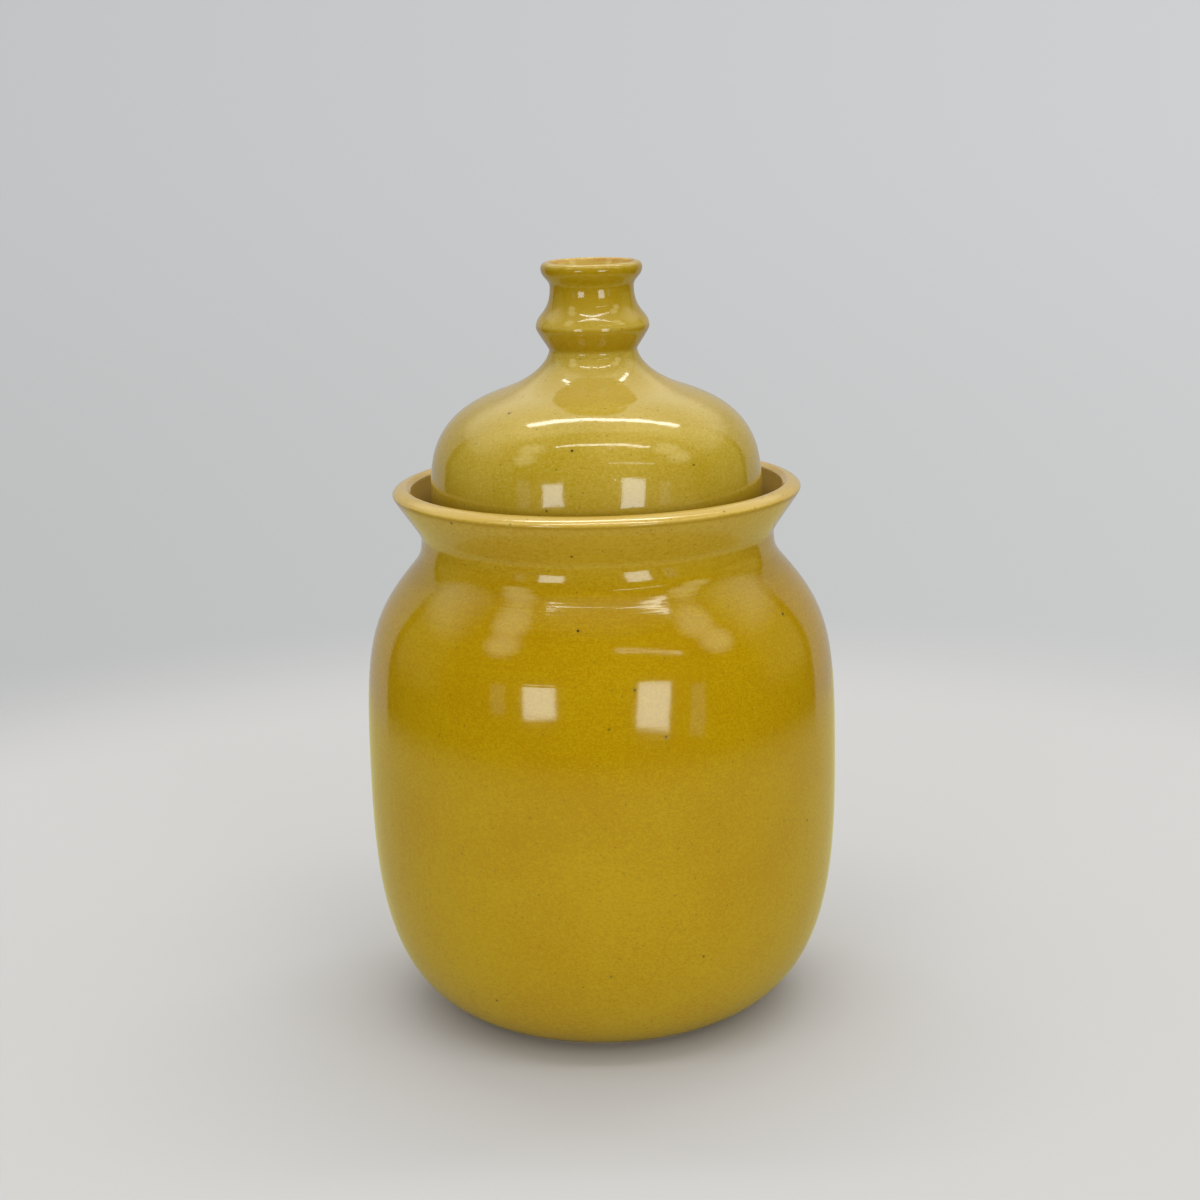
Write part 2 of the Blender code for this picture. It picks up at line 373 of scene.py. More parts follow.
def straight(start, end, spacing=FLAT_STEP):
    """Evenly spaced points of a flat stretch, without its last point."""
    steps = max(1, round(math.dist(start, end) / spacing))
    return [
        tuple(first + (last - first) * step / steps for first, last in zip(start, end))
        for step in range(steps)
    ]


def arc(middle, half_width, half_height, first, last, steps):
    """Points of an elliptical arc about a point, from one angle to another in degrees."""
    angles = [math.radians(first + (last - first) * step / steps) for step in range(steps + 1)]
    return [
        (middle[0] + half_width * math.cos(angle), middle[1] + half_height * math.sin(angle))
        for angle in angles
    ]


def rounded_lip(lip, thickness, crown):
    """The knob's lip: its round from the cup over the crest to the outer face."""
    inner = thickness * KNOB_LIP_APEX
    middle = (lip.radius - thickness + inner, lip.height)
    rise = arc(middle, inner, crown, CUP_START, 90, LIP_STEPS // 2)
    return rise + arc(middle, thickness - inner, crown, 90, 0, LIP_STEPS)[1:]


def turning(turns):
    """Points of a line that starts level and turns down through arcs of given radii."""
    points = [(0.0, 0.0)]
    lean = 0.0
    for end, radius in turns:
        steps = max(2, round((end - lean) / TURN_STEP))
        for step in range(steps):
            here = math.radians(lean + (end - lean) * (step + 0.5) / steps)
            length = radius * math.radians(end - lean) / steps
            across, down = points[-1]
            points.append((across + length * math.cos(here), down - length * math.sin(here)))
        lean = end
    return points


def fitted(points, start, end):
    """Points moved and stretched so that they run from one place to another."""
    return [
        tuple(
            first + (last - first) * part / whole
            for first, last, part, whole in zip(start, end, point, points[-1])
        )
        for point in points
    ]


def bevelled_lip(lip, thickness, crown):
    """The jar lip: a bevel up from the inner face, a crisp edge and a long round fall outwards."""
    inner = thickness * LIP_APEX
    apex = (lip.radius - thickness + inner, lip.height + crown)
    low, high = BEVEL_ROUNDS
    foot = (lip.radius - thickness + BEVEL_FOOT[0] + low, lip.height + BEVEL_FOOT[1])
    edge = arc((apex[0], apex[1] - high), high, high, 90 + BEVEL_LEAN, 90, EDGE_STEPS)
    rise = arc(foot, low, low, 180, 90 + BEVEL_LEAN, EDGE_STEPS)
    fall = fitted(turning(LIP_TURNS), apex, (lip.radius, lip.height))
    return rise + straight(rise[-1], edge[0], WALL_STEP / 2)[1:] + edge, fall[1:]


def stretch(points, **traits):
    """Points of a section as spots. A trait is one share, or a pair from the first to the last."""
    spots = []
    for place, (radius, height) in enumerate(points):
        part = place / max(1, len(points) - 1)
        shares = []
        for name in TRAITS:
            ends = traits.get(name, 0.0)
            first, last = ends if isinstance(ends, tuple) else (ends, ends)
            shares.append(first + (last - first) * part)
        spots.append(Spot(radius, height, *shares))
    return spots


def body_section(jar):
    """Half section of the jar body: up the inside, over the lip, down the outside, under the foot."""
    shoulder_height = jar.belly_height + jar.shoulder_rise
    neck_height = shoulder_height + jar.neck_rise
    ledge_height = neck_height + jar.ledge_rise
    edge = jar.edge_round

    foot = Station(jar.foot_radius, 0.0, FOOT_LEAN, FOOT_HOLD)
    belly = Station(jar.belly_radius, jar.belly_height, UPWARD, BELLY_HOLD)
    shoulder = Station(
        jar.neck_radius + jar.shoulder_step, shoulder_height, SHOULDER_LEAN, SHOULDER_HOLD
    )
    neck = Station(jar.neck_radius, neck_height, UPWARD, NECK_HOLD)
    lip = Station(jar.neck_radius + jar.rim_flare, neck_height + jar.rim_rise, UPWARD, LIP_HOLD)

    floor = Station(jar.foot_radius - jar.wall, jar.floor_thickness, OUTWARD, FOOT_HOLD)
    inner_belly = inset(belly, jar.wall)
    inner_shoulder = inset(shoulder, jar.wall)
    throat_radius = jar.gallery_radius - jar.ledge_width
    ledge_end = jar.gallery_radius - edge
    throat = Station(throat_radius, ledge_height - jar.ledge_thickness, UPWARD, LEDGE_HOLD)
    gallery = Station(jar.gallery_radius, ledge_height + edge, GALLERY_LEAN, GALLERY_HOLD)
    bevel, crest = bevelled_lip(lip, jar.lip_thickness, jar.lip_crown)
    inner_lip = Station(*bevel[0], UPWARD, RIM_HOLD)

    inside = straight((0.0, floor.height), (floor.radius, floor.height))
    inside += curve(floor, inner_belly)
    inside += curve(inner_belly, inner_shoulder)
    throat_wall = curve(inner_shoulder, throat)
    ledge = [(throat.radius, throat.height)]
    ledge += arc((throat_radius + edge, ledge_height - edge), edge, edge, 180, 90, EDGE_STEPS)
    ledge += straight((throat_radius + 2 * edge, ledge_height), (ledge_end, ledge_height))
    ledge += arc((ledge_end, ledge_height + edge), edge, edge, -90, 0, EDGE_STEPS)[:-1]

    rim = curve(gallery, inner_lip)
    corner = round(len(crest) * CORNER_START)
    flare = falling(neck, lip)[1:]

    ring_edge = jar.foot_radius - jar.foot_ring_width
    recess_edge = ring_edge - jar.foot_recess
    foot_wall = falling(foot, belly)
    while foot_wall[-1][1] < edge:
        foot_wall.pop()
    half = edge / 2
    foot_ring = arc((jar.foot_radius - half, half), half, half, FOOT_START, -90, EDGE_STEPS)
    foot_ring += straight((jar.foot_radius - 2 * edge, 0.0), (ring_edge + edge, 0.0))
    foot_ring += [(ring_edge, 0.0)]
    recess = straight((recess_edge, jar.foot_recess), (0.0, jar.foot_recess))
    recess += [(0.0, jar.foot_recess)]

    return (
        stretch(inside, pale=0.15, lines=0.5, rings=1.0)
        + stretch(throat_wall, pale=0.2, lines=0.3)
        + stretch(ledge, bare=1.0)
        # Painted shade: the gallery's inner wall is deepened, partly as glaze that gathered there
        + stretch(rim, pooled=(0.9, 0.5), dull=1.0, lines=0.3)
        + stretch(bevel, pale=0.95)
        + stretch(crest[:corner], pale=(0.75, 0.85))
        + stretch(crest[corner:], pale=(0.8, 0.2))
        + stretch(flare[:1], pooled=1.0)
        # Painted light: the flare, the neck and the low wall over the foot are paler, for the light
        # that the floor throws up at them
        + stretch(flare[1:], pale=(0.38, 0.25), lines=(0.2, 0.5))
        + stretch(falling(shoulder, neck), pale=(0.25, 0.05), lines=(0.5, 1.0))
        + stretch(falling(belly, shoulder), pale=(0.05, 0.0), lines=(1.0, 0.05))
        + stretch(foot_wall, pale=(0.0, 0.28), lines=0.05)
        + stretch(foot_ring, bare=1.0, lines=0.4)
        + stretch(recess, bare=1.0, lines=0.8)
    )


def knob_section(lid, dome):
    """The knob from the floor of its cup, over its lip and down to the dome that it stands on."""
    waist = Station(lid.waist_radius, dome.height + lid.waist_rise, UPWARD, WAIST_HOLD)
    ridge = Station(lid.ridge_radius, waist.height + lid.ridge_rise, UPWARD, RIDGE_HOLD)
    neck = Station(lid.knob_neck_radius, ridge.height + lid.knob_neck_rise, UPWARD, KNOB_NECK_HOLD)
    lip = Station(lid.knob_lip_radius, neck.height + lid.knob_lip_rise, UPWARD, KNOB_LIP_HOLD)
    crest = rounded_lip(lip, lid.knob_lip_thickness, lid.knob_lip_crown)
    cup_lean = math.atan2(crest[1][1] - crest[0][1], crest[1][0] - crest[0][0])
    cup_edge = Station(*crest[0], math.degrees(cup_lean), CUP_EDGE_HOLD)
    cup_height = lip.height + lid.knob_lip_crown - lid.cup_depth
    cup_floor = Station(0.0, cup_height, OUTWARD, CUP_FLOOR_HOLD)
    outer = round(len(crest) * KNOB_PALE_END)
    return (
        # Painted light: the cup in the knob is paler, most at its edge, for the light that it catches
        # and mirrors
        stretch(curve(cup_floor, cup_edge), pale=(0.4, 0.66), rings=0.3)
        + stretch(crest[:outer], pale=0.95)
        + stretch(crest[outer:], pale=(0.5, 0.0), pooled=(0.1, 0.9))
        + stretch(falling(neck, lip)[1:], pooled=(0.9, 0.8))
        + stretch(falling(ridge, neck), pooled=(0.8, 0.1), pale=(0.0, 0.2), lines=0.3)
        + stretch(falling(waist, ridge), pooled=(0.7, 0.9))
        # Painted reflection: the dome around the knob's foot is paler, for the bright ceiling that it
        # mirrors
        + stretch(falling(dome, waist), pale=(0.1, 0.4), lines=0.5)
    )


def lid_section(lid):
    """Half section of the lid: the knob, down the outside, under the seat, up to the inner roof."""
    edge = lid.edge_round
    base = lid.rest_height
    ring_radius = lid.radius - lid.tuck
    ring = Station(ring_radius, base + edge, UPWARD, SIDE_HOLD)
    side_foot = Station(lid.radius, base + lid.tuck_height, UPWARD, SIDE_HOLD)
    side = Station(lid.radius, base + lid.side_height, UPWARD, SIDE_HOLD)
    brow = Station(lid.brow_radius, side.height + lid.brow_rise, BROW_LEAN, BROW_HOLD)
    dome = Station(lid.dome_radius, side.height + lid.dome_rise, DOME_LEAN, DOME_HOLD)

    inner_side = inset(side, lid.wall)._replace(hold=INNER_SIDE_HOLD)
    inner_dome = inset(dome, lid.wall)._replace(hold=INNER_DOME_HOLD)
    roof = Station(0.0, inner_dome.height + lid.roof_rise, INWARD, ROOF_HOLD)
    inner_radius = inner_side.radius

    side_wall = straight((side.radius, side.height), (side_foot.radius, side_foot.height))
    tuck = falling(ring, side_foot)
    seat = arc((ring_radius - edge, base + edge), edge, edge, 0, -90, EDGE_STEPS)
    seat += arc((inner_radius + edge, base + edge), edge, edge, -90, -180, EDGE_STEPS)
    inner_wall = straight((inner_radius, base + 2 * edge), (inner_radius, inner_side.height))
    inside = curve(inner_side, inner_dome) + curve(inner_dome, roof)
    inside += [(roof.radius, roof.height)]
    return (
        knob_section(lid, dome)
        # Painted light: the dome grows paler towards the knob, for the light from above and the
        # ceiling that it mirrors
        + stretch(falling(brow, dome), pale=(0.36, 0.0), lines=0.3)
        # Painted shade: the glaze deepens down the lid's side to its seat, where the lid sinks into
        # the gallery, partly as glaze that gathered there
        + stretch(falling(side, brow), pooled=(0.0, 0.15), lines=0.3)
        + stretch(side_wall, pooled=(0.15, 0.8), lines=0.2)
        + stretch(tuck, pooled=1.0)
        + stretch(seat, bare=1.0)
        + stretch(inner_wall, pale=0.3, lines=0.3)
        + stretch(inside, pale=0.2, lines=0.5, rings=1.0)
    )


def run_along(spots):
    """How far along the section each of its spots lies."""
    runs = [0.0]
    for before, after in zip(spots, spots[1:]):
        runs.append(runs[-1] + math.dist(before[:2], after[:2]))
    return runs


def softened(values, runs, spread):
    """A trait that fades over a distance along the section instead of stepping."""
    soft = []
    for here in runs:
        total = weight = 0.0
        for place, value in enumerate(values):
            near = 1 - abs(runs[place] - here) / spread
            if near > 0:
                reach = runs[min(place + 1, len(runs) - 1)] - runs[max(place - 1, 0)]
                total += near * reach * value
                weight += near * reach
        soft.append(total / weight)
    return soft


def outward_at(spots, place):
    """The way out of the clay at a spot, square to the section; straight up or down on the axis."""
    before = spots[max(place - 1, 0)]
    after = spots[min(place + 1, len(spots) - 1)]
    way = Vector((before.height - after.height, 0.0, after.radius - before.radius)).normalized()
    if spots[place].radius < MERGE_DISTANCE:
        way = Vector((0.0, 0.0, math.copysign(1.0, way.z)))
    return way


# Kinds of node that come up again and again: Blender's own kind, its settings, the inputs that are
# given in order, and the output that is given back
SHORT_KINDS = {
    "mix": ("ShaderNodeMix", {"data_type": "RGBA"}, (0, 6, 7), 2),
    "noise": ("ShaderNodeTexNoise", {}, ("Vector", "Scale", "Detail", "Roughness"), 0),
    "soft step": (
        "ShaderNodeMapRange", {"interpolation_type": "SMOOTHSTEP"},
        ("Value", "From Min", "From Max"), 0,
    ),
}


def add_node(tree, kind, *values, links=None, output=0, **settings):
    """Adds a node with its settings, and gives back one of its outputs.

    The kind is Blender's own, a short one, or in capitals an operation of a Math node. Each input,
    in order or by name, gets a value or another node's output.
    """
    places = range(len(values))
    if kind.isupper():
        kind, settings = "ShaderNodeMath", {"operation": kind}
    elif kind in SHORT_KINDS:
        kind, settings, places, output = SHORT_KINDS[kind]
    node = tree.nodes.new(kind)
    for name, value in settings.items():
        setattr(node, name, value)
    for place, source in (*zip(places, values), *(links or {}).items()):
        if isinstance(source, bpy.types.NodeSocket):
            tree.links.new(source, node.inputs[place])
        else:
            node.inputs[place].default_value = source
    return node.outputs[output] if node.outputs else None


def thrown_form():
    """Geometry Nodes tree that turns a half section on the wheel.

    The section's points carry the traits of the clay. The spiral that the fingers leave climbs
    one ring pitch in each turn, and a slow noise sways the wall; both only ever take clay away.
    """
    tree = bpy.data.node_groups.new("Thrown form", "GeometryNodeTree")
    for name, kind in (
        ("Section", "Geometry"), ("Turn Steps", "Int"), ("Ring Pitch", "Float"),
        ("Ring Depth", "Float"), ("Sway", "Float"), ("Seed", "Int"), ("Glaze", "Material"),
    ):
        socket = tree.interface.new_socket(name, in_out="INPUT", socket_type="NodeSocket" + kind)
        if kind == "Float":
            socket.subtype = "DISTANCE"
    tree.interface.new_socket("Piece", in_out="OUTPUT", socket_type="NodeSocketGeometry")
    add = partial(add_node, tree)
    given = add("NodeGroupInput").node.outputs
    section = given["Section"]

    # One column of the grid for each spot of the section, one row for each step of the turn
    columns = add("GeometryNodeAttributeDomainSize", section, component="MESH")
    rows = add("FunctionNodeIntegerMath", given["Turn Steps"], 1, operation="ADD")
    grid = add("GeometryNodeMeshGrid", links={"Vertices X": columns, "Vertices Y": rows})
    index = add("GeometryNodeInputIndex")
    column = add("FunctionNodeIntegerMath", index, rows, operation="DIVIDE_FLOOR")
    step = add("FunctionNodeIntegerMath", index, rows, operation="MODULO")
    angle = add("DIVIDE", add("MULTIPLY", step, math.tau), given["Turn Steps"])
    cosine = add("COSINE", angle)
    sine = add("SINE", angle)

    # What the section's spots carry, read for each point of the grid
    carried = {}
    for kind, names in (
        ("FLOAT_VECTOR", ("position", "outward")),
        ("FLOAT", ("run", "rings", "free", *GLAZE_TRAITS)),
    ):
        for name in names:
            value = add("GeometryNodeInputNamedAttribute", name, data_type=kind)
            carried[name] = add(
                "GeometryNodeSampleIndex", section, value, column, data_type=kind, domain="POINT"
            )
    radius, _, height = add("ShaderNodeSeparateXYZ", carried["position"]).node.outputs
    outward, _, upward = add("ShaderNodeSeparateXYZ", carried["outward"]).node.outputs

    # The spiral of the fingers, from nothing to its full depth
    climb = add("MULTIPLY_ADD", add("DIVIDE", carried["run"], given["Ring Pitch"]), math.tau, angle)
    wave = add("MULTIPLY_ADD", add("SINE", climb), 0.5, 0.5)
    ring_cut = add("MULTIPLY", add("MULTIPLY", wave, given["Ring Depth"]), carried["rings"])

    # The slow sway of the wall, sampled on a circle so that it meets itself after a turn
    way_up = add("DIVIDE", carried["run"], SWAY_HEIGHT)
    noise = add("ShaderNodeTexNoise", noise_dimensions="4D", links={
        "Vector": add("ShaderNodeCombineXYZ", cosine, sine, way_up),
        "W": given["Seed"], "Scale": SWAY_LOBES, "Detail": 0.0,
    })
    sway_cut = add("MULTIPLY", add("MULTIPLY", noise, given["Sway"]), carried["free"])

    cut = add("ADD", ring_cut, sway_cut)
    radius = add("SUBTRACT", radius, add("MULTIPLY", outward, cut))
    height = add("SUBTRACT", height, add("MULTIPLY", upward, cut))
    side, ahead = (add("MULTIPLY", radius, turn) for turn in (cosine, sine))
    turned = add("ShaderNodeCombineXYZ", side, ahead, height)
    piece = add("GeometryNodeSetPosition", links={"Geometry": grid, "Position": turned})
    for name in GLAZE_TRAITS:
        piece = add(
            "GeometryNodeStoreNamedAttribute", data_type="FLOAT", domain="POINT",
            links={"Geometry": piece, "Name": name, "Value": carried[name]},
        )
    for kind, links in (
        ("GeometryNodeMergeByDistance", {"Distance": MERGE_DISTANCE}),
        ("GeometryNodeSetShadeSmooth", {"Shade Smooth": True}),
        ("GeometryNodeRealizeInstances", {}),
        ("GeometryNodeSetMaterial", {"Material": given["Glaze"]}),
    ):
        piece = add(kind, piece, links=links)
    add("NodeGroupOutput", piece)
    return tree


def new_object(name, data):
    """A new object in the scene."""
    made = bpy.data.objects.new(name, data)
    bpy.context.scene.collection.objects.link(made)
    return made


def thrown_piece(name, spots, values, material):
    """Turns a section into a plain, closed mesh that carries the traits of its clay and glaze."""
    runs = run_along(spots)
    blank = bpy.data.meshes.new(name + "_section")
    blank.from_pydata(
        [(spot.radius, 0.0, spot.height) for spot in spots],
        [(place, place + 1) for place in range(len(spots) - 1)], [],
    )
    traits = {
        trait: softened([getattr(spot, trait) for spot in spots], runs, TRAIT_SPREAD)
        for trait in TRAITS
    }
    bare = [spot.bare for spot in spots]
    traits["bare"] = softened(bare, runs, BARE_SPREAD)
    traits["free"] = [1.0 - value for value in softened(bare, runs, FREE_SPREAD)]
    for trait in ("rings", "free"):
        traits[trait] = [
            value * min(1.0, spot.radius / AXIS_CALM) for value, spot in zip(traits[trait], spots)
        ]
    traits["run"] = runs
    for trait, numbers in traits.items():
        blank.attributes.new(trait, "FLOAT", "POINT").data.foreach_set("value", numbers)
    outward = [axis for place in range(len(spots)) for axis in outward_at(spots, place)]
    blank.attributes.new("outward", "FLOAT_VECTOR", "POINT").data.foreach_set("vector", outward)

    holder = new_object(name + "_section", blank)
    tree = bpy.data.node_groups.get("Thrown form") or thrown_form()
    wheel = holder.modifiers.new("Wheel", "NODES")
    wheel.node_group = tree
    given = {
        "Turn Steps": values.turn_steps, "Ring Pitch": values.ring_pitch,
        "Ring Depth": values.ring_depth, "Sway": values.sway, "Seed": values.seed,
        "Glaze": material,
    }
    for item in tree.interface.items_tree:
        if item.in_out == "INPUT" and item.name in given:
            wheel[item.identifier] = given[item.name]
    evaluated = holder.evaluated_get(bpy.context.evaluated_depsgraph_get())
    mesh = bpy.data.meshes.new_from_object(evaluated)
    mesh.name = name
    mesh.materials.clear()
    mesh.materials.append(material)
    bpy.data.objects.remove(holder)
    bpy.data.meshes.remove(blank)
    if not mesh.polygons:
        raise RuntimeError(f"{name}: the wheel turned no faces")
    return new_object(name, mesh)


def check_fit(piece, node):
    """Raises an error where a piece isn't as large as the solid that it stands for."""
    for axis, (low, high) in enumerate(zip(*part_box(node))):
        reach = [vertex.co[axis] for vertex in piece.data.vertices]
        if abs(min(reach) - low) > FIT_TOLERANCE or abs(max(reach) - high) > FIT_TOLERANCE:
            raise RuntimeError(f"{piece.name} doesn't fit {node}: {min(reach)}, {max(reach)}")


def cleared_tree(owner):
    """The node tree of a new material or world, emptied."""
    owner.use_nodes = True
    owner.node_tree.nodes.clear()
    return owner.node_tree


# Real sizes of what shows in the glaze. Its finest crystals and its orange peel are too fine to
# show, so FINE_MOTTLE and ORANGE_PEEL are drawn about twice as coarse
CLOUD = 38 * MM
BLUSH = 7 * MM
MOTTLE = 1.1 * MM
FINE_MOTTLE = 0.55 * MM
THROWING_LINE = 0.9 * MM
ORANGE_PEEL = 0.95 * MM
WAVER = 9 * MM
CLAY_GRAIN = 0.7 * MM

# How much of each layer of a noise the next finer one has
NOISE_ROUGHNESS = 0.6

# Specks: their colour, the width of the cells that hold one at most, their usual radius, the share
# of cells that hold one, and how strong it is. The second kind is the halo of the third
SPECKS = (
    ("olive_speck", 2.6 * MM, 0.34 * MM, 0.55, 0.65),
    ("olive_speck", 9 * MM, 0.924 * MM, 0.34, 0.3),
    ("iron_speck", 9 * MM, 0.42 * MM, 0.34, 0.95),
)

# The smallest speck has this share of the usual radius, and the largest is one radius more
LEAST_SPECK = 0.4

# How the noise of the throwing lines and of the flecks is squeezed level, which draws it out
LINE_SQUEEZE = 1 / 60
FLECK_SQUEEZE = 0.7

# How much the clouds over their level, the mottling, its fine grain and the pale trait lighten the
# glaze; the pale trait holds both thinner glaze and painted light
CLOUD_LEVEL = 0.35
CLOUD_WEIGHT = 1.2
MOTTLE_WEIGHT = 1.1
FINE_WEIGHT = 1.5
THIN_AND_PAINTED_LIGHT_WEIGHT = 0.8

# How much the mottling breaks up the pools and painted shade, the thinner glaze and painted light,
# the edge of bare clay and the gloss
POOL_AND_PAINTED_SHADE_BREAK = 1.2
THIN_AND_PAINTED_LIGHT_BREAK = 0.8
EDGE_BREAK = 0.5
GLOSS_BREAK = 0.03

# Where each change starts and is complete, in the noise or the trait that drives it
LIGHT_STEP = (-0.35, 0.85)
HOLLOW_STEP = (0.52, 0.36)
THIN_AND_PAINTED_LIGHT_STEP = (0.05, 1.0)
BLUSH_STEP = (0.36, 0.60)
BLUSH_THIN_STEP = (0.8, 1.0)
GRAIN_STEP = (0.3, 0.7)
BARE_STEP = (0.42, 0.58)
SPECK_STEP = (1.1, 0.6)

# How deep the colour is in the hollows of the lines, and how much of the clay's roughness dull
# glaze has
HOLLOW_DEPTH = 0.12
DULL_SHARE = 0.7

# Heights of the relief of the throwing lines and of the bare clay, in mm
LINE_HEIGHT = 0.036
GRAIN_HEIGHT = 0.05

# Small pimples in the lid's glaze: where they are, how wide, and how high in mm
PIMPLES = (
    ((5.2 * MM, -47.8 * MM, 191.9 * MM), 1.0 * MM, 0.16),
    ((5.4 * MM, -51.6 * MM, 183.6 * MM), 0.6 * MM, 0.06),
)


def specks(add, place, cell, radius, share_of_cells):
    """Round specks, one at most to a cell, in a share of the cells: 1 inside a speck, else 0."""
    cells = add("ShaderNodeTexVoronoi", links={"Vector": place, "Scale": 1 / cell}).node.outputs
    chance = add("ShaderNodeSeparateColor", cells["Color"]).node.outputs
    reach = add("MULTIPLY_ADD", chance[1], radius / cell, LEAST_SPECK * radius / cell)
    inside = add("soft step", add("DIVIDE", cells["Distance"], reach), *SPECK_STEP)
    return add("MULTIPLY", inside, add("LESS_THAN", chance[0], share_of_cells))


def glazed_stoneware(piece, look, pimples=()):
    """Mustard glaze, dipped and fired over stoneware clay.

    The melted glass gives sharp highlights that waver a little, since its skin isn't quite flat.
    Crystals in it give a fine mottling, iron in the clay bleeds through as dark specks, the glaze
    breaks to buff where it thinned over an edge and is deeper in colour where it gathered. The same
    buff stands as painted light on the flare, the neck, the low wall, the dome and the knob's cup,
    and the deeper colour as painted shade in the jar's gallery and down the lid's side. Bare clay
    on the foot and the seats is matt and sandy.
    """
    material = bpy.data.materials.new("mustard_glazed_stoneware_" + piece)
    add = partial(add_node, cleared_tree(material))
    glaze = Glaze(*(getattr(look, f"{piece}_{value}") for value in Glaze._fields))
    place = add("ShaderNodeTexCoord", output="Object")
    pale, pooled, dull, bare, lined = (
        add("ShaderNodeAttribute", output="Fac", attribute_name=trait) for trait in GLAZE_TRAITS
    )

    # The noise of the lines and flecks is drawn out level, and stays fine up the wall
    drawn_out, flecked = (
        add("ShaderNodeMapping", links={"Vector": place, "Scale": (squeeze, squeeze, 1)})
        for squeeze in (LINE_SQUEEZE, FLECK_SQUEEZE)
    )
    lines, cloud, mottle, fine, patches, grain, peel, waver = (
        add("noise", laid, 1 / patch, detail, NOISE_ROUGHNESS) for laid, patch, detail in (
            (drawn_out, THROWING_LINE, 2.0), (place, CLOUD, 2.0), (flecked, MOTTLE, 2.0),
            (flecked, FINE_MOTTLE, 1.0), (place, BLUSH, 3.0), (place, CLAY_GRAIN, 3.0),
            (place, ORANGE_PEEL, 1.0), (place, WAVER, 0.0),
        )
    )

    # Mottling, as a difference from its middle, between the glaze's own colour and paler crystals;
    # the pale trait lightens it too, painted light included
    mottle = add("SUBTRACT", mottle, 0.5)
    fine = add("SUBTRACT", fine, 0.5)
    light = 0.0
    for part, weight in (
        (add("SUBTRACT", cloud, CLOUD_LEVEL), CLOUD_WEIGHT), (pale, THIN_AND_PAINTED_LIGHT_WEIGHT),
        (mottle, MOTTLE_WEIGHT * glaze.mottling), (fine, FINE_WEIGHT * glaze.mottling),
    ):
        light = add("MULTIPLY_ADD", part, weight, light)
    light = add("soft step", light, *LIGHT_STEP)

    # Deeper glaze where it gathered, painted shade in the gallery and down the lid's side, and deeper
    # glaze in the hollows of the throwing lines
    hollows = add("MULTIPLY", add("soft step", lines, *HOLLOW_STEP), lined)
    deep = add("MULTIPLY", pooled, add("MULTIPLY_ADD", mottle, POOL_AND_PAINTED_SHADE_BREAK, 1.0))
    deep = add("MAXIMUM", deep, add("MULTIPLY", hollows, HOLLOW_DEPTH))

    # Thinner glaze over the edges, and painted light where the pale trait stands for it, with an edge
    # that wanders and an orange-brown blush here and there
    thin_and_painted_light = add("MULTIPLY_ADD", mottle, THIN_AND_PAINTED_LIGHT_BREAK * glaze.mottling, 1.0)
    thin_and_painted_light = add("soft step", add("MULTIPLY", thin_and_painted_light, pale), *THIN_AND_PAINTED_LIGHT_STEP)
    blush = add("soft step", patches, *BLUSH_STEP)
    blush = add("MULTIPLY", blush, add("soft step", thin_and_painted_light, *BLUSH_THIN_STEP))
    blush = add("MULTIPLY", blush, glaze.blush)

    # The layers of colour, from the glaze's own up to the specks and the bare clay
    clay = add("soft step", add("MULTIPLY_ADD", mottle, EDGE_BREAK, bare), *BARE_STEP)
    sandy = add("mix", add("soft step", grain, *GRAIN_STEP), look.clay_colour, look.clay_grain)
    layers = [
        (light, glaze.light), (deep, glaze.deep), (thin_and_painted_light, look.thin_colour),
        (blush, look.blush_colour),
    ]
    for tone, cell, radius, share_of_cells, strength in SPECKS:
        dots = add("MULTIPLY", specks(add, place, cell, radius, share_of_cells), strength)
        layers.append((dots, getattr(look, tone)))
    layers.append((clay, sandy))
    tint = glaze.colour
    for part, part_colour in layers:
        tint = add("mix", part, tint, part_colour)

    gloss = add("MULTIPLY_ADD", mottle, GLOSS_BREAK, look.glaze_roughness)
    dry = add("MAXIMUM", clay, add("MULTIPLY", dull, DULL_SHARE))
    rough = add("MULTIPLY_ADD", add("SUBTRACT", look.clay_roughness, gloss), dry, gloss)

    relief = 0.0
    for part, part_height in (
        (peel, glaze.peel), (waver, glaze.waver), (add("MULTIPLY", lines, lined), LINE_HEIGHT),
        (add("MULTIPLY", grain, clay), GRAIN_HEIGHT),
    ):
        relief = add("MULTIPLY_ADD", part, part_height, relief)
    for middle, reach, part_height in pimples:
        away = add("ShaderNodeVectorMath", place, middle, output="Value", operation="DISTANCE")
        relief = add("MULTIPLY_ADD", add("soft step", away, reach, 0.0), part_height, relief)
    bump = add("ShaderNodeBump", links={"Height": relief, "Distance": MM, "Strength": 1.0})

    add("ShaderNodeOutputMaterial", add("ShaderNodeBsdfPrincipled", links={
        "Base Color": tint, "Roughness": rough, "Metallic": 0.0, "IOR": look.glaze_ior,
        "Specular Tint": glaze.tint, "Normal": bump,
    }))
    return material


# Matt paper scatters nearly all that it reflects
PAPER_ROUGHNESS = 0.95
PAPER_SHINE = 0.1


